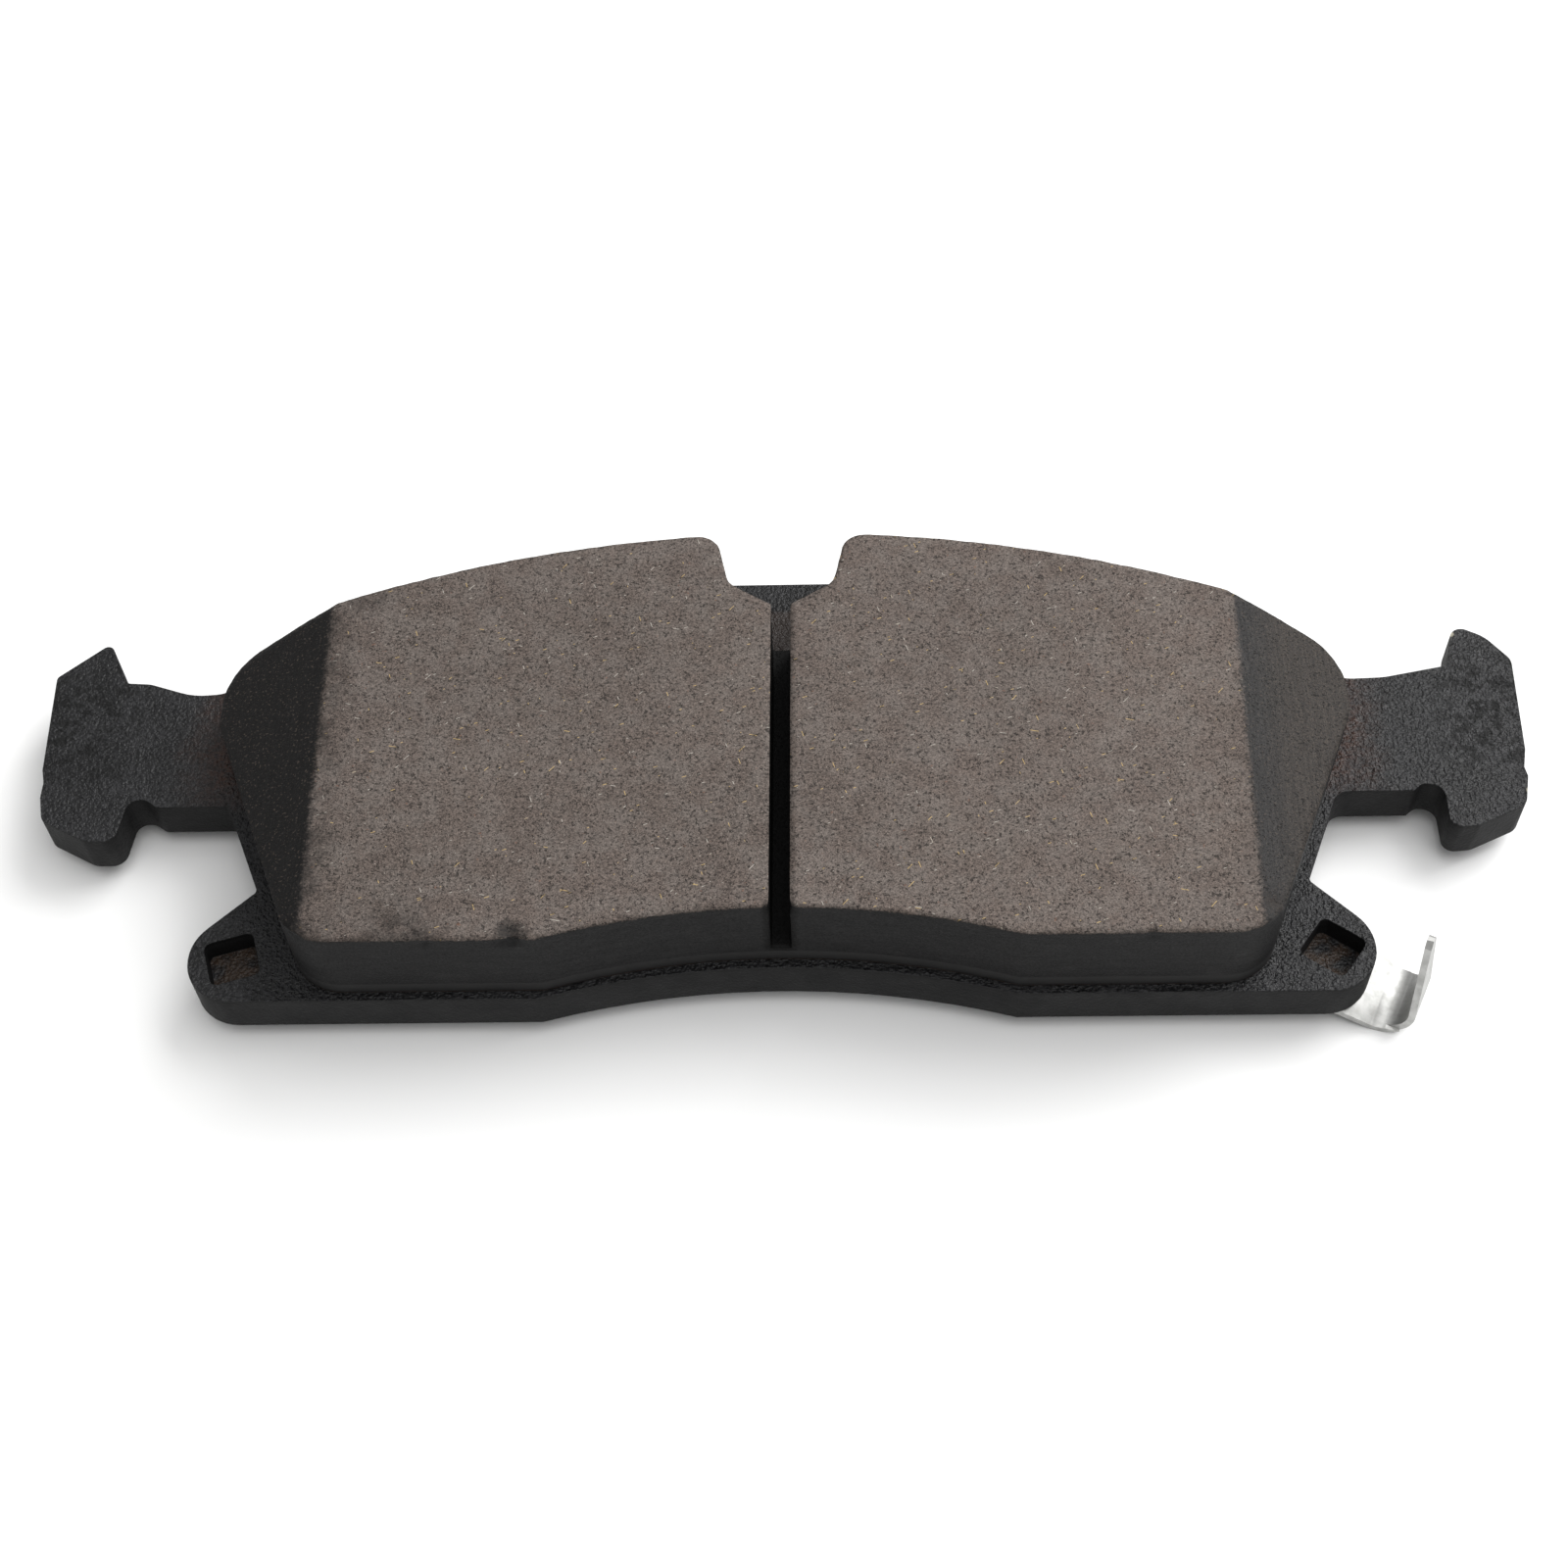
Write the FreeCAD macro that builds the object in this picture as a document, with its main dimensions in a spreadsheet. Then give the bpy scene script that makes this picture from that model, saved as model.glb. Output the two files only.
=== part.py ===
import FreeCAD, Part
import math
import os

# Disc brake pad for a floating caliper, friction side up (+Z), rotor axis toward -Y.
# X runs along the pad, Y across it, Z through its thickness. Z = 0 is the rear face of the shim,
# where the caliper piston pushes. All lengths are in millimetres.

os.makedirs("parts", exist_ok=True)
doc = FreeCAD.newDocument("brake_pad")

SIZES = [
    ("shim_sheet", 0.3, "each steel sheet of the shim"),
    ("shim_damping", 0.2, "damping layer between the shim sheets"),
    ("shim_glue", 0.2, "adhesive under the shim"),
    ("plate_thickness", 6.0, "steel backing plate"),
    ("bond_film", 0.15, "adhesive film under the lining"),
    ("underlayer", 1.85, "bonding mix under the friction mix"),
    ("friction_height", 10.4, "friction mix"),
    ("block_offset", 0.45, "sideways offset of the lining on the plate"),
    ("outer_radius", 179.4, "outer edge of the plate, from the rotor axis"),
    ("inner_radius", 118.1, "inner arc of the plate, from the rotor axis"),
    ("axis_drop", 146.5, "distance from the pad centre to the rotor axis"),
    ("block_crown", 31.33, "outer edge of the lining at the centre line, from the pad centre"),
    ("block_bow", 162.0, "radius of the lining's outer edge"),
    ("block_inner_radius", 119.35, "inner edge of the lining, from the rotor axis"),
    ("slot_width", 2.55, "centre slot"),
    ("slot_depth", 9.7, "centre slot"),
    ("face_half", 58.3, "half length of the ground face between the chamfers"),
    ("chamfer_slope", 0.4, "drop per length of the end chamfers"),
    ("lug_x", 68.5, "centre of a lug pocket"),
    ("lug_y", -26.3, "centre of a lug pocket"),
    ("pocket_side", 6.2, "half-sheared pocket"),
    ("pocket_depth", 3.3, "half-sheared pocket"),
    ("boss_side", 5.9, "boss behind a pocket"),
    ("boss_height", 2.4, "boss behind a pocket"),
    ("strip_gauge", 0.85, "spring steel of the wear indicator"),
    ("strip_hole", 6.3, "square hole in the wear indicator"),
    ("strip_angle", -26.0, "heading of the wear indicator, degrees from +X"),
    ("stake_side", 7.6, "staked head that holds the wear indicator"),
    ("stake_height", 0.7, "staked head that holds the wear indicator"),
]

sheet = doc.addObject("Spreadsheet::Sheet", "sizes")
for row, (alias, value, note) in enumerate(SIZES, start=1):
    sheet.set("A%d" % row, alias)
    sheet.set("B%d" % row, str(value))
    sheet.set("C%d" % row, note)
    sheet.setAlias("B%d" % row, alias)

STACK = ["shim_sheet", "shim_damping", "shim_sheet", "shim_glue", "plate_thickness", "bond_film",
         "underlayer", "friction_height"]
LEVELS = ["level_outer_sheet", "level_damping", "level_inner_sheet", "level_glue", "level_plate",
          "level_film", "level_underlayer", "level_block", "level_face"]
for step, alias in enumerate(LEVELS):
    row = len(SIZES) + 1 + step
    below = " + ".join(STACK[:step])
    sheet.set("A%d" % row, alias)
    sheet.set("B%d" % row, "=" + below if below else "0")
    sheet.setAlias("B%d" % row, alias)
doc.recompute()


def size(alias):
    """A driving dimension from the sheet."""
    return float(sheet.get(alias))


def point(x, y):
    return FreeCAD.Vector(x, y, 0)


def outline(corners):
    """Closed outline. A corner is (x, y, r), rounded by r, or (x, y, r, mid): the edge that
    leaves it bows through the point mid."""
    ends = []
    count = len(corners)
    for i, corner in enumerate(corners):
        here = point(corner[0], corner[1])
        back = point(corners[i - 1][0], corners[i - 1][1])
        ahead = point(corners[(i + 1) % count][0], corners[(i + 1) % count][1])
        radius = corner[2]
        if radius <= 0:
            ends.append((here, None, here))
            continue
        a = (back - here).normalize()
        b = (ahead - here).normalize()
        half = a.getAngle(b) / 2
        setback = radius / math.tan(half)
        centre = here + (a + b).normalize() * (radius / math.sin(half))
        middle = centre + (here - centre).normalize() * radius
        ends.append((here + a * setback, middle, here + b * setback))
    edges = []
    for i, corner in enumerate(corners):
        start, middle, stop = ends[i]
        if middle is not None:
            edges.append(Part.Arc(start, middle, stop))
        after = ends[(i + 1) % count][0]
        if len(corner) > 3:
            edges.append(Part.Arc(stop, point(*corner[3]), after))
        else:
            edges.append(Part.LineSegment(stop, after))
    return edges


def square(x, y, side, turn, radius):
    """Rounded square about (x, y), turned by an angle in degrees."""
    corners = []
    for quarter in range(4):
        angle = math.radians(turn + 45 + 90 * quarter)
        reach = side / math.sqrt(2)
        corners.append((x + reach * math.cos(angle), y + reach * math.sin(angle), radius))
    return outline(corners)


def new_body(label, level):
    body = doc.addObject("PartDesign::Body", label)
    body.Label = label
    body.setExpression("Placement.Base.z", "sizes." + level)
    return body


def new_sketch(body, name, geometry, plane="XY_Plane", lift=None):
    sketch = body.newObject("Sketcher::SketchObject", name)
    origin_plane = [item for item in body.Origin.OriginFeatures if item.Role == plane][0]
    sketch.AttachmentSupport = [(origin_plane, "")]
    sketch.MapMode = "FlatFace"
    if lift:
        sketch.setExpression("AttachmentOffset.Base.z", lift)
    sketch.addGeometry(geometry, False)
    doc.recompute()
    return sketch


def pad(body, name, sketch, length, reverse=False):
    feature = body.newObject("PartDesign::Pad", name)
    feature.Profile = sketch
    feature.setExpression("Length", length)
    feature.Reversed = reverse
    doc.recompute()
    return feature


def cut(body, name, sketch, length, reverse=False):
    before = body.Shape.Volume
    feature = body.newObject("PartDesign::Pocket", name)
    feature.Profile = sketch
    feature.setExpression("Length", length)
    feature.Reversed = reverse
    doc.recompute()
    if body.Shape.Volume > before - 0.01:
        raise RuntimeError(name + " removed nothing")
    return feature


def bow(crown, radius, x):
    """Y, at a distance x from the centre line, of an edge that bows outward to its crown."""
    return crown - radius + math.sqrt(radius * radius - x * x)


# --- backing plate -----------------------------------------------------------------------------

OUTER_R = size("outer_radius")
CROWN_Y = OUTER_R - size("axis_drop")
INNER_Y = size("inner_radius") - size("axis_drop")
FRONT_Y = -32.45
KINK_X = 29.5
CROWN_X = 9.0
SHOULDER_X = 68.0

right_side = [
    (KINK_X, FRONT_Y, 0),
    (73.8, FRONT_Y, 6.2),
    (73.8, -23.6, 6.2),
    (66.7, -16.5, 0.9),
    (72.0, -3.1, 2.2),
    (81.9, -3.1, 0.8),
    (83.0, -2.1, 1.3),
    (85.75, -2.1, 1.9),
    (85.75, -8.85, 1.5),
    (89.3, -8.6, 2.2),
    (95.9, -5.5, 2.2),
    (96.85, -1.0, 0),
    (96.6, 0.4, 0),
    (97.2, 3.2, 0),
    (97.9, 17.9, 2.2),
    (94.9, 21.9, 5.0),
    (90.9, 24.0, 1.6),
    (89.15, 17.05, 0.6),
    (80.5, 15.25, 10.0),
    (75.0, 15.05, 5.0),
    (SHOULDER_X, bow(CROWN_Y, OUTER_R, SHOULDER_X), 0),
]
left_side = [
    (-73.8, FRONT_Y, 6.15),
    (-73.8, -23.6, 6.1),
    (-66.4, -16.4, 0.7),
    (-71.9, -3.3, 0.7),
    (-81.4, -3.3, 1.5),
    (-83.0, -2.1, 2.0),
    (-85.2, -2.1, 1.6),
    (-86.1, -8.55, 1.9),
    (-89.9, -8.55, 2.5),
    (-96.2, -5.15, 1.8),
    (-97.0, -1.5, 0),
    (-97.0, 0.9, 0),
    (-97.5, 2.9, 0),
    (-98.3, 18.2, 1.0),
    (-91.8, 24.0, 0.9),
    (-88.4, 17.1, 0.6),
    (-85.3, 16.9, 3.0),
    (-79.0, 14.75, 9.0),
    (-75.0, 15.1, 4.0),
    (-SHOULDER_X, bow(CROWN_Y, OUTER_R, SHOULDER_X), 0),
]
crown_y = bow(CROWN_Y, OUTER_R, CROWN_X)
mid_x = (SHOULDER_X + CROWN_X) / 2
mid_y = bow(CROWN_Y, OUTER_R, mid_x)
plate_corners = [(-KINK_X, FRONT_Y, 0, (0, INNER_Y))]
plate_corners += right_side[:-1]
plate_corners.append(right_side[-1] + ((mid_x, mid_y),))
plate_corners.append((CROWN_X, crown_y, 0))
plate_corners.append((-CROWN_X, crown_y, 0, (-mid_x, mid_y)))
plate_corners += list(reversed(left_side))

plate = new_body("backing_plate", "level_plate")
pad(plate, "plate_blank", new_sketch(plate, "plate_outline", outline(plate_corners)),
    "sizes.plate_thickness")

LEFT_TURN = 17.0
RIGHT_TURN = -36.0
lugs = [(-1, LEFT_TURN), (1, RIGHT_TURN)]
pockets = []
bosses = []
for side, turn in lugs:
    lug_x = side * size("lug_x") + (0.25 if side < 0 else 0.0)
    pockets += square(lug_x, size("lug_y"), size("pocket_side"), turn, 0.9)
    bosses += square(lug_x, size("lug_y"), size("boss_side"), turn, 0.8)
cut(plate, "half_shear", new_sketch(plate, "pocket_outline", pockets, lift="sizes.plate_thickness"),
    "sizes.pocket_depth")
pad(plate, "bosses", new_sketch(plate, "boss_outline", bosses), "sizes.boss_height", reverse=True)
stake = square(size("lug_x"), size("lug_y"), size("stake_side"), RIGHT_TURN, 1.4)
pad(plate, "staked_head", new_sketch(plate, "stake_outline", stake, lift="-sizes.boss_height"),
    "sizes.stake_height")

# --- lining: film, underlayer and friction block -----------------------------------------------

BLOCK_CROWN = size("block_crown")
BLOCK_BOW = size("block_bow")
BLOCK_INNER_Y = size("block_inner_radius") - size("axis_drop")
BLOCK_FRONT_Y = -31.3
BLOCK_KINK_X = 29.2
END_TOP_X = 67.0
NOTCH_X = 12.5
SHIM_SHIFT = 0.0


def block_half(sign):
    """One end of the lining, from the front kink round to the top of the end."""
    return [
        (sign * 58.8, BLOCK_FRONT_Y, 7.0),
        (sign * 73.3, 5.2, 3.0),
        (sign * 73.3, 13.9, 8.0),
        (sign * END_TOP_X, bow(BLOCK_CROWN, BLOCK_BOW, END_TOP_X), 0),
    ]


def block_outline(notched, shift):
    """Outline of the lining; the friction mix is notched at the middle of its outer edge."""
    right = block_half(1)
    left = block_half(-1)
    edge_x = (END_TOP_X + NOTCH_X) / 2
    edge_y = bow(BLOCK_CROWN, BLOCK_BOW, edge_x)
    notch_y = bow(BLOCK_CROWN, BLOCK_BOW, NOTCH_X)
    corners = [(-BLOCK_KINK_X, BLOCK_FRONT_Y, 0, (0, BLOCK_INNER_Y))]
    corners.append((BLOCK_KINK_X, BLOCK_FRONT_Y, 0))
    corners += right[:-1]
    if notched:
        corners.append(right[-1] + ((edge_x, edge_y),))
        corners.append((NOTCH_X, notch_y, 0))
        corners.append((8.6, notch_y + 0.15, 3.0))
        corners.append((6.9, 22.8, 3.0))
        corners.append((1.0, 19.0, 0))
        corners.append((-1.0, 19.0, 0))
        corners.append((-6.9, 22.8, 3.0))
        corners.append((-8.6, notch_y + 0.15, 3.0))
        corners.append((-NOTCH_X, notch_y, 0, (-edge_x, edge_y)))
    else:
        corners.append(right[-1] + ((0, BLOCK_CROWN),))
    corners += list(reversed(left))
    return outline([shifted(corner, shift) for corner in corners])


def shifted(corner, shift):
    """The corner, with its edge's middle if it has one, moved along X."""
    moved = (corner[0] + shift, corner[1], corner[2])
    if len(corner) > 3:
        moved += ((corner[3][0] + shift, corner[3][1]),)
    return moved


offset = size("block_offset")
for label, level, height in [("bond_film", "level_film", "bond_film"),
                             ("underlayer", "level_underlayer", "underlayer")]:
    layer = new_body(label, level)
    pad(layer, label + "_pad", new_sketch(layer, label + "_outline", block_outline(True, offset)),
        "sizes." + height)

block = new_body("friction_block", "level_block")
pad(block, "block_pad", new_sketch(block, "block_outline", block_outline(True, offset)),
    "sizes.friction_height")

half_slot = size("slot_width") / 2
SLOT_ENDS = (-40, 25)
slot = outline([(offset - half_slot, SLOT_ENDS[0], 0), (offset + half_slot, SLOT_ENDS[0], 0),
                (offset + half_slot, SLOT_ENDS[1], 0), (offset - half_slot, SLOT_ENDS[1], 0)])
cut(block, "centre_slot", new_sketch(block, "slot_outline", slot, lift="sizes.friction_height"),
    "sizes.slot_depth")

REACH = 20.0
CLEARANCE = 5.0
CHAMFER_START = "-50 mm"
CHAMFER_RUN = "100 mm"
face_z = size("friction_height")
drop = REACH * size("chamfer_slope")
for side, name in [(-1, "left_chamfer"), (1, "right_chamfer")]:
    near = offset + side * size("face_half")
    far = near + side * REACH
    wedge = outline([(near, face_z, 0), (far, face_z - drop, 0), (far, face_z + CLEARANCE, 0),
                     (near, face_z + CLEARANCE, 0)])
    sketch = new_sketch(block, name + "_outline", wedge, plane="XZ_Plane", lift=CHAMFER_START)
    cut(block, name, sketch, CHAMFER_RUN, reverse=True)

# --- shim on the back of the plate -------------------------------------------------------------

for label, level, height in [("shim_outer_sheet", "level_outer_sheet", "shim_sheet"),
                             ("shim_damping_layer", "level_damping", "shim_damping"),
                             ("shim_inner_sheet", "level_inner_sheet", "shim_sheet"),
                             ("shim_adhesive", "level_glue", "shim_glue")]:
    layer = new_body(label, level)
    sketch = new_sketch(layer, label + "_outline", block_outline(False, SHIM_SHIFT))
    pad(layer, label + "_pad", sketch, "sizes." + height)

# --- wear indicator ----------------------------------------------------------------------------

GAUGE = size("strip_gauge")
TAB_TIP = 12.2
STRIP_PATH = [(-5.6, -GAUGE / 2, 0), (3.0, -GAUGE / 2, 4.9), (12.35, -4.1, 3.3), (10.5, TAB_TIP, 0)]


def strip_side(sign):
    """One face of the bent strip, half the gauge from its middle; the last bend turns up."""
    side = []
    for i, (x, z, radius) in enumerate(STRIP_PATH):
        before = FreeCAD.Vector(0, 0, 0)
        after = FreeCAD.Vector(0, 0, 0)
        if i > 0:
            before = point(x - STRIP_PATH[i - 1][0], z - STRIP_PATH[i - 1][1]).normalize()
        if i < len(STRIP_PATH) - 1:
            after = point(STRIP_PATH[i + 1][0] - x, STRIP_PATH[i + 1][1] - z).normalize()
        along = (before + after).normalize()
        normal = point(-along.y, along.x)
        facing = before if i > 0 else after
        stretch = 1 / abs(normal.dot(point(-facing.y, facing.x)))
        move = normal * (sign * GAUGE / 2 * stretch)
        if radius:
            turns_up = before.x * after.y > before.y * after.x
            radius += -sign * GAUGE / 2 if turns_up else sign * GAUGE / 2
        side.append((x + move.x, z + move.y, radius))
    return side


BLANK_HALF = 8.0
TRIM_START = "16 mm"
TRIM_RUN = "30 mm"
TAB_RUN = "8 mm"
HOLE_START = "2 mm"
HOLE_RUN = "4 mm"

indicator = new_body("wear_indicator", "level_plate")
indicator.setExpression("Placement.Base.x", "sizes.lug_x")
indicator.setExpression("Placement.Base.y", "sizes.lug_y")
indicator.Placement.Rotation = FreeCAD.Rotation(FreeCAD.Vector(0, 0, 1), size("strip_angle"))
section = outline(strip_side(1) + list(reversed(strip_side(-1))))
sketch = new_sketch(indicator, "strip_section", section, plane="XZ_Plane",
                    lift="-%g mm" % BLANK_HALF)
pad(indicator, "strip_blank", sketch, "%g mm" % (2 * BLANK_HALF))

hole = square(0, 0, size("strip_hole"), RIGHT_TURN - size("strip_angle"), 0.9)
cut(indicator, "stake_hole", new_sketch(indicator, "hole_outline", hole, lift=HOLE_START), HOLE_RUN)

TRIM_Y = 10.0
TRIM_TOP = TAB_TIP + 1.5
edges = [
    ("near", -1, 4.7, 2.9, [(-2.9, -1.8, 0), (-2.3, 2.0, 0), (1.1, TAB_TIP - 0.9, 0.9),
                            (1.9, TAB_TIP + 0.1, 0)]),
    ("far", 1, 6.6, 5.0, [(5.4, -1.6, 0), (4.7, -0.2, 0), (3.8, 1.8, 0),
                          (3.2, TAB_TIP - 0.8, 0.9), (2.3, TAB_TIP + 0.1, 0)]),
]
for name, side, base, bend, taper in edges:
    out = side * TRIM_Y
    trim = outline([(-8, side * base, 0), (3, side * base, 0), (12.8, side * bend, 0),
                    (20, side * bend, 0), (20, out, 0), (-8, out, 0)])
    cut(indicator, name + "_trim", new_sketch(indicator, name + "_edge", trim, lift=TRIM_START),
        TRIM_RUN)
    tip_y = taper[-1][0]
    ends = [(tip_y, TRIM_TOP, 0), (out, TRIM_TOP, 0), (out, taper[0][1], 0)]
    sketch = new_sketch(indicator, name + "_taper", outline(taper + ends), plane="YZ_Plane",
                        lift=TRIM_START)
    cut(indicator, name + "_tab", sketch, TAB_RUN)

# --- check and write ---------------------------------------------------------------------------

doc.recompute()
for item in doc.Objects:
    if "Invalid" in item.State or "Error" in item.State:
        raise RuntimeError(item.Name + " did not compute")
for item in doc.Objects:
    if item.TypeId != "PartDesign::Body":
        continue
    shape = item.Shape
    if shape.isNull() or not shape.isValid() or len(shape.Solids) != 1:
        raise RuntimeError(item.Label + " is not one valid solid")
    shape.exportStep(os.path.join("parts", item.Label + ".step"))
    box = shape.BoundBox
    print("%-20s %8.1f mm3  x %.2f..%.2f y %.2f..%.2f z %.2f..%.2f" % (
        item.Label, shape.Volume, box.XMin, box.XMax, box.YMin, box.YMax, box.ZMin, box.ZMax))
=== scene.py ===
import math

import bmesh
import bpy
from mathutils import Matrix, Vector, noise


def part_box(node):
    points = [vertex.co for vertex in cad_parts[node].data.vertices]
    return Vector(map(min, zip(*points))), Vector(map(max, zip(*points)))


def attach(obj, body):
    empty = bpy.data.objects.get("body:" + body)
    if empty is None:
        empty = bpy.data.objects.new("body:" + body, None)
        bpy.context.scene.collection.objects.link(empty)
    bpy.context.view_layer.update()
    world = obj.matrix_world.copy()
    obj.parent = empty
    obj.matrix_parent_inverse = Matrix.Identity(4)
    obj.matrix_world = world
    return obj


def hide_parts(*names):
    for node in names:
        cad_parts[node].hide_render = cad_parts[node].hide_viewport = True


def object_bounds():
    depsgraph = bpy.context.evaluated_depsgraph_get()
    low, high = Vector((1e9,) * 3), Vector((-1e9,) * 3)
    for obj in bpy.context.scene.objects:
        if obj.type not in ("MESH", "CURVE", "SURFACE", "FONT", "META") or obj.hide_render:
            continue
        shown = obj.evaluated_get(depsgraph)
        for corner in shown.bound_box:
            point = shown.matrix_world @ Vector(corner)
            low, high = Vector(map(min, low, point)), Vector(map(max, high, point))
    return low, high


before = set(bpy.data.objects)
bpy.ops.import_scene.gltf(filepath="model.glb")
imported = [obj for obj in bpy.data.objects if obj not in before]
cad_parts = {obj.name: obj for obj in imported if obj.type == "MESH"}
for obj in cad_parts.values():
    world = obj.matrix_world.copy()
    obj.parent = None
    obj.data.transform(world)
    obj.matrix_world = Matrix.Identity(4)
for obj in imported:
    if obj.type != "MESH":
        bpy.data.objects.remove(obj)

cad_low, cad_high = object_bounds()

MM = 0.001
scene = bpy.context.scene
scene.view_settings.view_transform = "Standard"

# --- places on the pad, in millimetres ---------------------------------------------------------

block_low, block_high = [Vector(corner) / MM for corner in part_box("friction_block")]

PLATE_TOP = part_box("bond_film")[0][2] / MM
FACE_Z = block_high.z
BLOCK_X = (block_low.x + block_high.x) / 2

FACE_HALF = 58.3        # from the lining's middle to where its face ends
BORDER_LEAN = 0.03      # how much further out the ground colour reaches per millimetre of y
CHAMFER_SLOPE = 0.4     # fall of the lining's ends per millimetre
SLOT_HALF = 1.275       # half width of the centre slot
NOTCH_Y = (15.0, 27.4)  # the brown strip on the bare plate, in line with the slot
NECK_OUT = (62.0, 70.0)       # distances from the middle where the necks begin
BLEED_OUT = (76.0, 85.0)      # where the adhesive's bleed fades away
EAR_OUT = (83.0, 90.0)        # where the ears begin
SMUDGE_Y = (4.0, 15.0)        # the smudged stretch of each ear
POCKET_FLOOR_Z = (3.4, 4.2)   # heights that hold the pockets' floors

# --- camera ------------------------------------------------------------------------------------

CAMERA_AT = (8.145, -173.49, 257.70)
CAMERA_HEADING = -2.4956
CAMERA_DIP = 55.424
CAMERA_ROLL = -2.787
SENSOR = 36.0
LENS = 53.67
NEAREST = 0.01
FARTHEST = 20.0


def make_camera():
    """A camera that looks down at the friction face from the side of the inner arc."""
    data = bpy.data.cameras.new("camera")
    camera = bpy.data.objects.new("camera", data)
    scene.collection.objects.link(camera)
    heading = math.radians(CAMERA_HEADING)
    dip = math.radians(CAMERA_DIP)
    roll = math.radians(CAMERA_ROLL)
    ahead = Vector((math.sin(heading), math.cos(heading), 0.0))
    side = Vector((math.cos(heading), -math.sin(heading), 0.0))
    down = Vector((0.0, 0.0, -1.0))
    forward = ahead * math.cos(dip) + down * math.sin(dip)
    up = ahead * math.sin(dip) - down * math.cos(dip)
    right = side * math.cos(roll) + up * math.sin(roll)
    top = up * math.cos(roll) - side * math.sin(roll)
    matrix = camera.matrix_world.copy()
    for row in range(3):
        matrix[row][0] = right[row]
        matrix[row][1] = top[row]
        matrix[row][2] = -forward[row]
        matrix[row][3] = CAMERA_AT[row] * MM
    camera.matrix_world = matrix
    data.sensor_width = SENSOR
    data.lens = LENS
    data.clip_start = NEAREST
    data.clip_end = FARTHEST
    scene.camera = camera


# --- shader building ---------------------------------------------------------------------------


class Shader:
    """A material with one Principled surface. Its place is the object's own, in millimetres."""

    def __init__(self, name, metallic=0.0, specular=0.5):
        self.material = bpy.data.materials.new(name)
        self.material.use_nodes = True
        self.tree = self.material.node_tree
        self.surface = self.tree.nodes["Principled BSDF"]
        self.surface.inputs["Metallic"].default_value = metallic
        self.surface.inputs["Specular IOR Level"].default_value = specular
        coordinates = self.tree.nodes.new("ShaderNodeTexCoord")
        self.place = self.vector("SCALE", coordinates.outputs["Object"], scale=1 / MM)
        self.x, self.y, self.z = self.parts(self.place)
        geometry = self.tree.nodes.new("ShaderNodeNewGeometry")
        self.up = self.parts(geometry.outputs["Normal"])[2]

    def feed(self, value, socket):
        """Link a socket, or set a plain number or colour."""
        if isinstance(value, bpy.types.NodeSocket):
            self.tree.links.new(value, socket)
        elif isinstance(value, tuple) and len(value) == 3 and socket.type == "RGBA":
            socket.default_value = (*value, 1.0)
        else:
            socket.default_value = value

    def vector(self, operation, a, b=None, scale=None):
        """One vector operation on one or two vectors."""
        node = self.tree.nodes.new("ShaderNodeVectorMath")
        node.operation = operation
        self.feed(a, node.inputs[0])
        if b is not None:
            self.feed(b, node.inputs[1])
        if scale is not None:
            self.feed(scale, node.inputs["Scale"])
        return node.outputs["Value"] if operation == "LENGTH" else node.outputs[0]

    def parts(self, vector):
        """The x, y and z of a vector."""
        node = self.tree.nodes.new("ShaderNodeSeparateXYZ")
        self.feed(vector, node.inputs[0])
        return node.outputs

    def turned(self, degrees):
        """The place, turned about the z axis."""
        node = self.tree.nodes.new("ShaderNodeVectorRotate")
        node.rotation_type = "Z_AXIS"
        node.inputs["Angle"].default_value = math.radians(degrees)
        self.feed(self.place, node.inputs["Vector"])
        return node.outputs[0]

    def math(self, operation, a, b=0.0):
        """One operation on one or two numbers."""
        node = self.tree.nodes.new("ShaderNodeMath")
        node.operation = operation
        self.feed(a, node.inputs[0])
        self.feed(b, node.inputs[1])
        return node.outputs[0]

    def plus(self, total, *others):
        """The sum of two or more numbers."""
        for other in others:
            total = self.math("ADD", total, other)
        return total

    def minus(self, a, b):
        """The first number less the second."""
        return self.math("SUBTRACT", a, b)

    def times(self, product, *others):
        """The product of two or more numbers."""
        for other in others:
            product = self.math("MULTIPLY", product, other)
        return product

    def larger(self, a, b):
        """The larger of two numbers."""
        return self.math("MAXIMUM", a, b)

    def off_centre(self):
        """Distance along x from the lining's middle."""
        return self.math("ABSOLUTE", self.minus(self.x, BLOCK_X))

    def ramp(self, value, start, stop, low=0.0, high=1.0):
        """Smooth change from low to high while value goes from start to stop."""
        node = self.tree.nodes.new("ShaderNodeMapRange")
        node.interpolation_type = "SMOOTHSTEP"
        for socket, number in zip(node.inputs, (value, start, stop, low, high)):
            self.feed(number, socket)
        return node.outputs[0]

    def band(self, value, start, stop, soft):
        """1 between start and stop, 0 outside, with soft shoulders."""
        rise = self.ramp(value, start - soft, start)
        fall = self.ramp(value, stop, stop + soft, 1.0, 0.0)
        return self.times(rise, fall)

    def spot(self, centre, radius, soft):
        """1 within radius of a point, 0 beyond the soft rim around it."""
        away = self.vector("LENGTH", self.vector("SUBTRACT", self.place, centre))
        return self.ramp(away, radius, radius + soft, 1.0, 0.0)

    def noise(self, size, detail=2.0, roughness=0.5, stretch=None, shift=None):
        """Noise from 0 to 1 whose features are about size millimetres."""
        place = self.place
        if stretch:
            place = self.vector("DIVIDE", place, stretch)
        if shift:
            place = self.vector("ADD", place, (shift, shift, shift))
        node = self.tree.nodes.new("ShaderNodeTexNoise")
        self.feed(place, node.inputs["Vector"])
        node.inputs["Scale"].default_value = 1.0 / size
        node.inputs["Detail"].default_value = detail
        node.inputs["Roughness"].default_value = roughness
        return node.outputs["Fac"]

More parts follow.
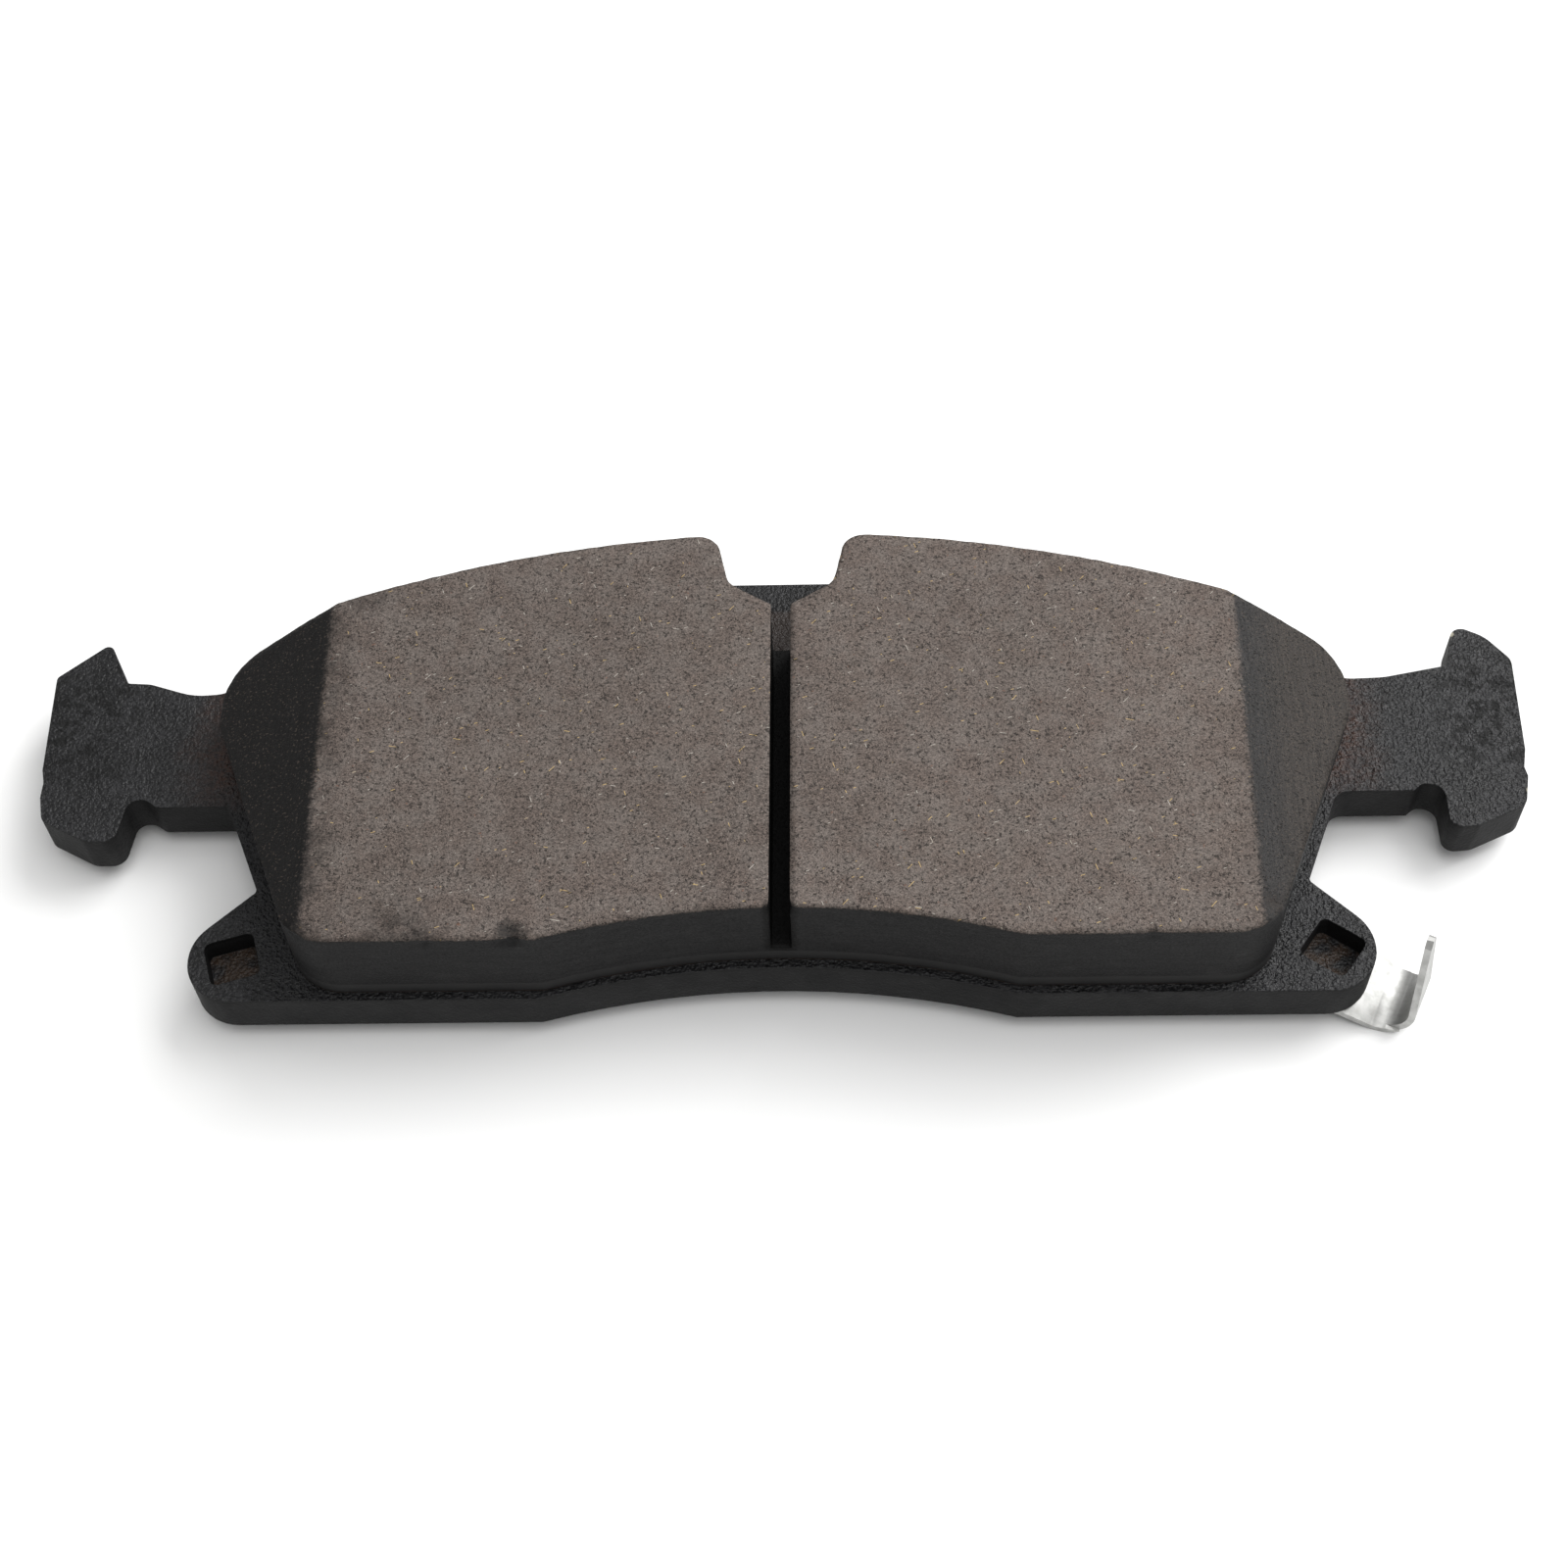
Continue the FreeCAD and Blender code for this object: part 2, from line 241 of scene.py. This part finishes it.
    def mix(self, amount, a, b):
        """The first colour where amount is 0, the second where it is 1."""
        node = self.tree.nodes.new("ShaderNodeMix")
        node.data_type = "RGBA"
        self.feed(amount, node.inputs[0])
        self.feed(a, node.inputs[6])
        self.feed(b, node.inputs[7])
        return node.outputs[2]

    def lighten(self, colour, factor):
        """The colour times a number."""
        return self.vector("SCALE", colour, scale=factor)

    def finish(self, colour, roughness, height=None, depth=0.05):
        """Connect the surface, with a bump of depth millimetres, and return the material."""
        self.feed(colour, self.surface.inputs["Base Color"])
        self.feed(roughness, self.surface.inputs["Roughness"])
        if height is not None:
            bump = self.tree.nodes.new("ShaderNodeBump")
            bump.inputs["Strength"].default_value = 1.0
            bump.inputs["Distance"].default_value = depth * MM
            self.feed(height, bump.inputs["Height"])
            self.tree.links.new(bump.outputs[0], self.surface.inputs["Normal"])
        return self.material


# --- friction mix ------------------------------------------------------------------------------

GROUND = (0.109, 0.092, 0.082)
GROUND_WARM = (0.116, 0.093, 0.081)
GROUND_DARK = (0.022, 0.019, 0.017)
RUST = (0.170, 0.080, 0.050)
SKIN = (0.0080, 0.0078, 0.0080)
SKIN_PALE = (0.0135, 0.0130, 0.0130)
SLOT_SHADE = (0.0010, 0.0009, 0.0008)
LEFT_END = (0.0052, 0.0048, 0.0047)
RIGHT_END = (0.0275, 0.0230, 0.0196)
RIGHT_END_INNER = (0.0180, 0.0170, 0.0166)
END_DARK = (0.0040, 0.0035, 0.0035)
END_FLECK_AND_HIGHLIGHT = (0.050, 0.040, 0.033)
FIBRE_PALE = (0.40, 0.37, 0.33)
FIBRE_BRASS = (0.46, 0.33, 0.15)

FIBRE_WIDE = 0.11
# angle in degrees, length in millimetres, share of the cells that hold one, shift of the cells
FIBRES = ((12.0, 1.2, 0.020, 3.3), (72.0, 0.9, 0.026, 17.1),
          (131.0, 1.1, 0.022, 31.7), (160.0, 0.6, 0.040, 53.9))

# x and y of the darker places on the face
DARK_PLACES = ((-56.0, 23.5), (-58.5, -28.5), (-59.5, -4.0), (-45.0, -31.0))
DARK_PLACE_RADIUS = 1.0
DARK_PLACE_SOFT = 7.0


class LiningShader(Shader):
    """The friction mix: its grain, and where its ground face, sanded ends and walls are."""

    def __init__(self):
        super().__init__("friction_mix", specular=0.18)
        self.out = self.off_centre()
        self.ragged = self.minus(self.noise(0.5, detail=3.0, roughness=0.7), 0.5)
        self.patch = self.noise(3.2, detail=4.0, roughness=0.6, shift=40.0)
        self.grain = self.noise(0.34, detail=2.0, roughness=0.7)
        self.fine = self.noise(0.15, detail=1.0, shift=11.0)
        self.sanded = self.noise(0.24, detail=2.0, roughness=0.7, stretch=(1.0, 30.0, 30.0))
        self.holes = self.ramp(self.noise(0.38, detail=1.5, roughness=0.6, shift=7.0), 0.60, 0.68)

        border = self.plus(self.times(self.y, BORDER_LEAN), FACE_HALF)
        self.beyond = self.plus(self.minus(self.out, border), self.times(self.ragged, 1.8))
        self.chamfer = self.ramp(self.beyond, -0.55, 0.65)
        drop = self.times(self.larger(self.minus(self.out, FACE_HALF), 0.0), CHAMFER_SLOPE)
        self.depth = self.minus(self.minus(FACE_Z, drop), self.z)
        self.wall = self.ramp(self.plus(self.depth, self.times(self.ragged, 1.2)), 0.12, 0.38)

    def fibres(self, angle, long, share, shift):
        """Mask and colour pick of short straight fibres, all at one angle, one in some cells."""
        cell = (long * 1.6, long * 0.8, 1.0)
        scaled = self.vector("DIVIDE", self.turned(angle), cell)
        scaled = self.vector("ADD", scaled, (shift, shift, 0.0))
        cells = self.tree.nodes.new("ShaderNodeTexVoronoi")
        cells.voronoi_dimensions = "2D"
        cells.inputs["Scale"].default_value = 1.0
        self.feed(scaled, cells.inputs["Vector"])
        flat = self.vector("MULTIPLY", scaled, (1.0, 1.0, 0.0))
        away = self.vector("MULTIPLY", self.vector("SUBTRACT", flat, cells.outputs["Position"]), cell)
        apart = self.parts(self.vector("ABSOLUTE", away))
        chosen = self.tree.nodes.new("ShaderNodeSeparateColor")
        self.feed(cells.outputs["Color"], chosen.inputs[0])
        along = self.math("LESS_THAN", apart[0], self.times(chosen.outputs[2], long / 2))
        across = self.ramp(apart[1], FIBRE_WIDE * 0.25, FIBRE_WIDE * 0.6, 1.0, 0.0)
        picked = self.math("GREATER_THAN", chosen.outputs[0], 1.0 - share)
        return self.times(along, across, picked), chosen.outputs[1]

    def ground_face(self):
        """Brown mix with pits, pale and rusty grains and metal fibres, and the fibres' mask."""
        # the last term is painted light: the face gets lighter toward +x, the side of the key light
        tone = self.plus(self.ramp(self.noise(24.0, detail=2.0), 0.3, 0.7, -0.05, 0.05),
                         self.ramp(self.patch, 0.3, 0.7, -0.14, 0.14),
                         self.ramp(self.grain, 0.25, 0.75, -0.32, 0.32),
                         self.ramp(self.fine, 0.25, 0.75, -0.42, 0.42),
                         self.ramp(self.x, block_low.x, block_high.x, 0.97, 1.08))
        face = self.lighten(self.mix(self.ramp(self.patch, 0.35, 0.65), GROUND_WARM, GROUND), tone)
        face = self.mix(self.times(self.holes, 0.8), face, GROUND_DARK)
        pale = self.ramp(self.noise(0.27, detail=0.0, shift=57.0), 0.80, 0.86, 0.0, 0.6)
        face = self.mix(pale, face, FIBRE_PALE)
        rust = self.ramp(self.noise(0.6, detail=1.0, shift=90.0), 0.74, 0.80, 0.0, 0.45)
        face = self.mix(rust, face, RUST)
        lines = 0.0
        for angle, long, share, shift in FIBRES:
            mask, pick = self.fibres(angle, long, share, shift)
            metal = self.mix(self.ramp(pick, 0.48, 0.52), FIBRE_PALE, FIBRE_BRASS)
            face = self.mix(self.times(mask, 0.9), face, metal)
            lines = self.larger(lines, mask)
        return face, lines

    def darkened(self, face):
        """The face darker toward the ends, most at the left end and at a few places, and with a
        darker rim along the walls.
        """
        darkening = self.times(self.ramp(self.beyond, -5.0, 0.5),
                          self.ramp(self.x, -20.0, 20.0, 0.95, 0.25))
        for x, y in DARK_PLACES:
            darkening = self.larger(darkening, self.spot((x, y, FACE_Z), DARK_PLACE_RADIUS, DARK_PLACE_SOFT))
        clouds = self.noise(3.5, detail=5.0, roughness=0.75, shift=77.0)
        darkening = self.times(darkening, self.ramp(clouds, 0.35, 0.70, 0.1, 1.0))
        face = self.mix(darkening, face, GROUND_DARK)
        rim = self.ramp(self.plus(self.depth, self.times(self.ragged, 0.7)), -0.02, 0.14)
        return self.mix(self.times(rim, 0.55), face, GROUND_DARK)

    def sanded_ends(self):
        """A near-black left end and a brown-grey right end, with sanding lines along y."""
        right_end = self.mix(self.ramp(self.beyond, 1.0, 7.0), RIGHT_END_INNER, RIGHT_END)
        ends = self.mix(self.ramp(self.x, -1.0, 1.0), LEFT_END, right_end)
        streak = self.ramp(self.sanded, 0.25, 0.75, 0.70, 1.30)
        speckle = self.times(self.ramp(self.fine, 0.25, 0.75, 0.4, 1.6),
                             self.ramp(self.grain, 0.25, 0.75, 0.5, 1.5))
        ends = self.lighten(ends, self.times(streak, speckle))
        ends = self.mix(self.times(self.holes, 0.85), ends, END_DARK)
        flecks = self.ramp(self.noise(0.30, detail=0.0, shift=88.0), 0.66, 0.78, 0.0, 0.8)
        return self.mix(flecks, ends, END_FLECK_AND_HIGHLIGHT)

    def moulded_walls(self, face):
        """Black walls, with painted shade making them near black beside the slot, with the mix
        showing where they are broken open.
        """
        marks = self.noise(0.7, detail=3.0, roughness=0.6, stretch=(9.0, 9.0, 1.0))
        walls = self.lighten(self.mix(self.ramp(self.patch, 0.5, 0.8), SKIN, SKIN_PALE),
                             self.ramp(marks, 0.25, 0.75, 0.7, 1.3))
        # painted shade: the walls beside the slot are near black, as the narrow slot gets little
        # light
        torn = self.plus(self.out, self.times(self.ragged, 3.2))
        walls = self.mix(self.ramp(torn, SLOT_HALF + 0.6, SLOT_HALF + 1.0, 0.9, 0.0), walls, SLOT_SHADE)
        broken = self.times(self.ramp(self.up, 0.35, 0.75),
                            self.ramp(self.grain, 0.35, 0.6, 0.5, 1.0))
        return self.mix(broken, walls, self.lighten(face, 0.42))


def friction_material():
    """Ground face with dark grains and metal fibres, sanded ends, black moulded walls, painted shade
    in the slot and a painted highlight along the chamfers' outer edges.
    """
    shader = LiningShader()
    face, lines = shader.ground_face()
    face = shader.darkened(face)
    colour = shader.mix(shader.chamfer, face, shader.sanded_ends())
    colour = shader.mix(shader.wall, colour, shader.moulded_walls(face))
    # painted highlight: a thin light line along the chamfers' outer edges, strongest on the near half
    painted_edge_highlight = shader.times(shader.band(shader.depth, 0.22, 0.32, 0.08),
                            shader.ramp(shader.y, -6.0, 6.0, 0.7, 0.1),
                            shader.ramp(shader.beyond, 6.0, 9.0))
    colour = shader.mix(painted_edge_highlight, colour, END_FLECK_AND_HIGHLIGHT)
    # painted shade: the slot's walls and floor are near black below the face
    painted_slot_shade = shader.times(shader.ramp(shader.out, SLOT_HALF + 0.1, SLOT_HALF + 0.3, 1.0, 0.0),
                          shader.ramp(shader.depth, 0.3, 1.2))
    colour = shader.mix(painted_slot_shade, colour, SLOT_SHADE)

    height = shader.minus(shader.times(shader.grain, 0.5), shader.times(shader.holes, 0.9))
    height = shader.plus(height, shader.times(shader.fine, 0.35), shader.times(lines, 0.25),
                         shader.times(shader.sanded, shader.chamfer, 0.6))
    smoother = shader.times(shader.larger(shader.chamfer, shader.wall), 0.22)
    roughness = shader.minus(shader.ramp(shader.grain, 0.2, 0.8, 0.75, 0.95), smoother)
    return shader.finish(colour, roughness, height, depth=0.07)


# --- coated steel ------------------------------------------------------------------------------

COAT = (0.0060, 0.0060, 0.0065)
COAT_WORN = (0.0115, 0.0115, 0.0124)
COAT_WALL_SHADED = (0.0030, 0.0030, 0.0032)
STAIN = (0.050, 0.022, 0.014)
POCKET_RUST = (0.046, 0.029, 0.019)
NOTCH_BROWN = (0.024, 0.0165, 0.0135)
BLACK = (0.0008, 0.0008, 0.0008)
BARE = (0.30, 0.28, 0.22)

# x and y of the bare chips on the right ear, just under the plate's face
BARE_CHIPS = ((90.5, 22.3), (96.6, -3.3))
BARE_CHIP_SUNK = 0.1
BARE_CHIP_RADIUS = 0.25
BARE_CHIP_SOFT = 0.35


class CoatShader(Shader):
    """Powder coat: its texture, and which parts of it face up or sideways."""

    def __init__(self):
        super().__init__("powder_coated_steel", specular=0.28)
        self.out = self.off_centre()
        self.flat = self.ramp(self.up, 0.55, 0.85)
        self.side = self.ramp(self.up, 0.35, 0.75, 1.0, 0.0)
        self.peel = self.noise(0.36, detail=1.5, roughness=0.55)
        self.worm = self.noise(0.62, detail=1.0, shift=23.0)
        self.patch = self.noise(6.0, detail=3.0, roughness=0.6, shift=5.0)
        self.fine = self.noise(0.2, detail=1.0, shift=61.0)
        ear = self.times(self.ramp(self.out, *EAR_OUT), self.band(self.y, *SMUDGE_Y, 7.0))
        cloudy = self.noise(2.0, detail=5.0, roughness=0.8, shift=31.0)
        self.smudge = self.times(ear, self.ramp(cloudy, 0.49, 0.56))

    def stained(self, colour):
        """Rusty adhesive bleed on the necks, rust in the pockets, brown in the lining's notch."""
        reach = self.plus(self.out, self.times(self.patch, 9.0))
        beside = self.times(self.ramp(reach, *BLEED_OUT, 1.0, 0.0), self.ramp(self.out, *NECK_OUT),
                            self.ramp(self.y, -6.0, 3.0))
        bleed = self.times(beside, self.flat, self.ramp(self.worm, 0.35, 0.65, 0.25, 0.75))
        colour = self.mix(bleed, colour, STAIN)
        floor = self.times(self.band(self.z, *POCKET_FLOOR_Z, 0.3),
                           self.ramp(self.noise(2.4, shift=71.0), 0.35, 0.6))
        rust = self.times(floor, self.flat, self.ramp(self.fine, 0.3, 0.7, 0.4, 0.9))
        colour = self.mix(rust, colour, POCKET_RUST)
        notch = self.times(self.ramp(self.out, 1.4, 3.0, 1.0, 0.0), self.band(self.y, *NOTCH_Y, 0.8))
        return self.mix(self.times(notch, 0.9), colour, NOTCH_BROWN)

    def with_walls(self, colour):
        """Smoother sheared walls in a darker colour as painted shade, with a dark line under the
        plate's upper edge.
        """
        streaks = self.noise(1.1, detail=2.0, stretch=(7.0, 7.0, 1.0), shift=13.0)
        # painted shade: the walls get a darker colour than the faces
        walls = self.lighten(COAT_WALL_SHADED, self.ramp(streaks, 0.25, 0.75, 0.7, 1.3))
        colour = self.mix(self.side, colour, walls)
        ragged = self.times(self.minus(self.noise(2.2, detail=3.0, shift=3.0), 0.5), 0.35)
        line = self.band(self.plus(self.z, ragged), PLATE_TOP - 0.5, PLATE_TOP - 0.22, 0.12)
        return self.mix(self.times(line, self.side), colour, BLACK)

    def chipped(self, colour):
        """Bare steel in the chips on the right ear."""
        bare = 0.0
        for x, y in BARE_CHIPS:
            centre = (x, y, PLATE_TOP - BARE_CHIP_SUNK)
            bare = self.larger(bare, self.spot(centre, BARE_CHIP_RADIUS, BARE_CHIP_SOFT))
        return self.mix(bare, colour, BARE)


def coat_material():
    """Black powder coat: orange peel on the faces, its colour lighter on the crests and darker in the
    hollows as painted highlight and shade, smoother walls, chips, stains and smudges.
    """
    shader = CoatShader()
    colour = shader.mix(shader.ramp(shader.patch, 0.35, 0.65), COAT, COAT_WORN)
    # painted highlight and shade: the orange peel's crests are lighter and its hollows darker in
    # colour
    colour = shader.lighten(colour, shader.ramp(shader.peel, 0.3, 0.7, 0.45, 1.75))
    colour = shader.stained(colour)
    colour = shader.mix(shader.times(shader.smudge, 0.95), colour, BLACK)
    colour = shader.chipped(shader.with_walls(colour))

    height = shader.times(shader.plus(shader.peel, shader.times(shader.worm, 0.8)),
                          shader.ramp(shader.up, 0.3, 0.9, 0.25, 1.0))
    height = shader.plus(height, shader.times(shader.fine, 0.12))
    roughness = shader.plus(shader.ramp(shader.patch, 0.3, 0.7, 0.33, 0.43),
                            shader.times(shader.smudge, 0.3), shader.times(shader.side, 0.30))
    return shader.finish(colour, roughness, height, depth=0.32)


# --- the other finishes ------------------------------------------------------------------------

BOND = ((0.006, 0.005, 0.004), (0.030, 0.018, 0.012))
SHEET = ((0.030, 0.031, 0.033), (0.055, 0.056, 0.060))
RUBBER = ((0.010, 0.010, 0.010), (0.022, 0.022, 0.023))
GLUE = ((0.06, 0.055, 0.05), (0.11, 0.10, 0.09))
STRIP_BRIGHT = (0.50, 0.50, 0.487)
STRIP_DULL = (0.42, 0.42, 0.407)
STRIP_HEADING = -26.0


def layer_material(name, colours, size, roughness, stretch=None, depth=0.04):
    """A plain matte layer: a dark and a light tone, a fine grain, and a slight bump."""
    shader = Shader(name, specular=0.35)
    grain = shader.noise(size, detail=3.0, roughness=0.65, stretch=stretch)
    patch = shader.noise(size * 9.0, detail=2.0, shift=19.0)
    tone = shader.plus(shader.times(grain, 0.6), shader.times(patch, 0.4))
    colour = shader.mix(shader.ramp(tone, 0.35, 0.65), *colours)
    matte = shader.ramp(grain, 0.3, 0.7, roughness - 0.06, roughness + 0.06)
    return shader.finish(colour, matte, grain, depth=depth)


def spring_material():
    """Bright rolled strip: fine lines along the strip, a few handling marks."""
    shader = Shader("spring_steel", metallic=1.0)
    shader.place = shader.turned(-STRIP_HEADING)
    lines = shader.noise(0.22, detail=3.0, roughness=0.7, stretch=(30.0, 1.0, 30.0))
    marks = shader.noise(1.3, detail=3.0, roughness=0.6, shift=29.0)
    colour = shader.mix(shader.ramp(marks, 0.35, 0.7), STRIP_BRIGHT, STRIP_DULL)
    colour = shader.lighten(colour, shader.ramp(lines, 0.3, 0.7, 0.94, 1.04))
    roughness = shader.plus(shader.ramp(lines, 0.3, 0.7, 0.46, 0.56),
                            shader.ramp(marks, 0.4, 0.8, 0.0, 0.1))
    return shader.finish(colour, roughness, lines, depth=0.006)


# --- the lining, rebuilt with worn edges -------------------------------------------------------

EDGE_ANGLE = math.radians(14.0)       # from here on an edge wears
FULL_EDGE_ANGLE = math.radians(80.0)  # from here on it wears fully
BASE_EDGE_ANGLE = math.radians(40.0)  # from here on an edge at the lining's foot shows sharp
BASE_HEIGHT = 0.1     # the foot's edges lie below this height
WORN_ABOVE = 1.5      # the lowest stretch of the walls, which isn't worn
WEAR_LEAST = 0.01
WEAR_RANGE = 0.09
DENTS = 0.025         # depth of the shallow dents all over
CHIP_DROP = 1.6       # how far down from the face a chip reaches

# x, y, radius and depth of the places where the edge is broken
CHIP_SITES = ((-31.5, -30.6, 2.4, 0.9), (59.6, -27.2, 2.2, 0.7), (-57.5, -29.5, 2.0, 0.45),
              (1.7, -27.3, 1.1, 0.6), (-0.8, -27.4, 1.1, 0.6), (-42.0, -31.4, 1.6, 0.35),
              (45.0, -31.4, 1.4, 0.3))


def remeshed_copy(node, name, depth):
    """A dense, even copy of a CAD node's mesh that keeps its sharp edges."""
    copy = bpy.data.objects.new(name, bpy.data.objects[node].data.copy())
    scene.collection.objects.link(copy)
    remesh = copy.modifiers.new("remesh", "REMESH")
    remesh.mode = "SHARP"
    remesh.octree_depth = depth
    remesh.scale = 0.9
    remesh.use_remove_disconnected = False
    graph = bpy.context.evaluated_depsgraph_get()
    dense = bpy.data.meshes.new_from_object(copy.evaluated_get(graph))
    copy.modifiers.clear()
    copy.data = dense
    copy.data.materials.clear()
    return copy


def sharpness(vertex):
    """How sharp an edge the vertex is on, from 0 for a flat place to 1."""
    normals = [face.normal for face in vertex.link_faces]
    spread = max(a.angle(b, 0.0) for a in normals for b in normals)
    return min(spread / FULL_EDGE_ANGLE, 1.0) if spread > EDGE_ANGLE else 0.0


def edge_wear(place, sharp):
    """How far an edge is worn back at a place, in millimetres."""
    if place.z <= block_low.z + WORN_ABOVE:
        return 0.0
    ragged = noise.noise(place * 1.3) * 0.5 + noise.noise(place * 0.45) * 0.5 + 0.35
    return sharp * (WEAR_LEAST + WEAR_RANGE * max(ragged, 0.0))


def chip_depth(place):
    """How far the lining is broken away at a place, in millimetres."""
    total = 0.0
    for x, y, radius, deep in CHIP_SITES:
        gap = math.hypot(place.x - x, place.y - y)
        if gap < radius and place.z > FACE_Z - CHIP_DROP:
            total += deep * (1.0 - gap / radius) * (0.7 + 0.6 * noise.noise(place * 1.8))
    return total


def wear_edges(piece):
    """Round and roughen the lining's edges, and break out a few chips along the face."""
    mesh = bmesh.new()
    mesh.from_mesh(piece.data)
    mesh.normal_update()
    moves = {}
    for vertex in mesh.verts:
        place = vertex.co / MM
        cut = edge_wear(place, sharpness(vertex)) + chip_depth(place)
        cut += DENTS * noise.noise(place * 0.9)
        moves[vertex] = -vertex.normal * cut * MM
    for vertex, move in moves.items():
        vertex.co += move
    for face in mesh.faces:
        face.smooth = True
    for edge in mesh.edges:
        if max(vertex.co.z for vertex in edge.verts) < (block_low.z + BASE_HEIGHT) * MM:
            edge.smooth = edge.calc_face_angle(0.0) < BASE_EDGE_ANGLE
    mesh.to_mesh(piece.data)
    mesh.free()
    piece.data.update()


def make_lining():
    """The worn lining, which stands for the friction block's plain solid."""
    lining = remeshed_copy("friction_block", "friction_lining", 8)
    wear_edges(lining)
    lining.data.materials.append(friction_material())
    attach(lining, "root")
    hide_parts("friction_block")


# --- the CAD parts -----------------------------------------------------------------------------

WELD_GAP = 0.002
FLAT_ANGLE = math.radians(0.5)
BEVEL_ANGLE = math.radians(35.0)


def dress(node, material):
    """Give a CAD node its finish."""
    piece = bpy.data.objects[node]
    piece.data.materials.clear()
    piece.data.materials.append(material)


def soften(node, width, segments=3):
    """Clean up the flat faces' triangles and round the edges, as modifiers."""
    piece = bpy.data.objects[node]
    weld = piece.modifiers.new("weld", "WELD")
    weld.merge_threshold = WELD_GAP * MM
    flat = piece.modifiers.new("flat", "DECIMATE")
    flat.decimate_type = "DISSOLVE"
    flat.angle_limit = FLAT_ANGLE
    bevel = piece.modifiers.new("edges", "BEVEL")
    bevel.width = width * MM
    bevel.segments = segments
    bevel.limit_method = "ANGLE"
    bevel.angle_limit = BEVEL_ANGLE
    bevel.harden_normals = True


def dress_parts():
    """Finishes on the CAD nodes that stay, and rounded edges on the plate and the strip."""
    skin = layer_material("underlayer_mix", (SKIN, SKIN_PALE), 0.5, 0.75, stretch=(6.0, 6.0, 1.0))
    sheet = layer_material("shim_steel", SHEET, 0.35, 0.45, stretch=(14.0, 1.0, 1.0), depth=0.015)
    dress("backing_plate", coat_material())
    dress("underlayer", skin)
    dress("bond_film", layer_material("bond_adhesive", BOND, 0.8, 0.55))
    dress("shim_outer_sheet", sheet)
    dress("shim_inner_sheet", sheet)
    dress("shim_damping_layer", layer_material("shim_rubber", RUBBER, 0.6, 0.7))
    dress("shim_adhesive", layer_material("shim_glue", GLUE, 0.7, 0.4))
    dress("wear_indicator", spring_material())
    soften("backing_plate", 0.38)
    soften("wear_indicator", 0.09, segments=2)


# --- studio ------------------------------------------------------------------------------------

FLOOR_REACH = 3.0
FLOOR_TONES = ((0.88, 0.88, 0.87), (0.90, 0.90, 0.90))
AMBIENT = 0.46


def area_light(name, at, side, power):
    """A square light of the given side in metres, aimed at the origin."""
    data = bpy.data.lights.new(name, "AREA")
    data.shape = "RECTANGLE"
    data.size = side
    data.size_y = side
    data.energy = power
    light = bpy.data.objects.new(name, data)
    scene.collection.objects.link(light)
    light.location = at
    light.rotation_euler = (-Vector(at)).to_track_quat("-Z", "Y").to_euler()


def make_floor():
    """A pale floor under the lowest point of the pad."""
    mesh = bpy.data.meshes.new("floor")
    level = cad_low[2]
    corners = [(-1, -1), (1, -1), (1, 1), (-1, 1)]
    mesh.from_pydata([(x * FLOOR_REACH, y * FLOOR_REACH, level) for x, y in corners], [],
                     [(0, 1, 2, 3)])
    floor = bpy.data.objects.new("floor", mesh)
    scene.collection.objects.link(floor)
    shader = Shader("floor", specular=0.2)
    mesh.materials.append(shader.finish(shader.mix(shader.noise(60.0), *FLOOR_TONES), 0.8))


def make_lights():
    """Even light from all round, a key light behind and to the right, and a soft top light."""
    world = bpy.data.worlds.new("studio")
    scene.world = world
    world.use_nodes = True
    backdrop = world.node_tree.nodes["Background"]
    backdrop.inputs["Color"].default_value = (1.0, 1.0, 1.0, 1.0)
    backdrop.inputs["Strength"].default_value = AMBIENT
    area_light("key", (0.70, 0.60, 0.80), 0.9, 16.0)
    area_light("top", (0.3, -0.15, 1.15), 1.2, 8.5)


make_camera()
make_floor()
make_lights()
dress_parts()
make_lining()
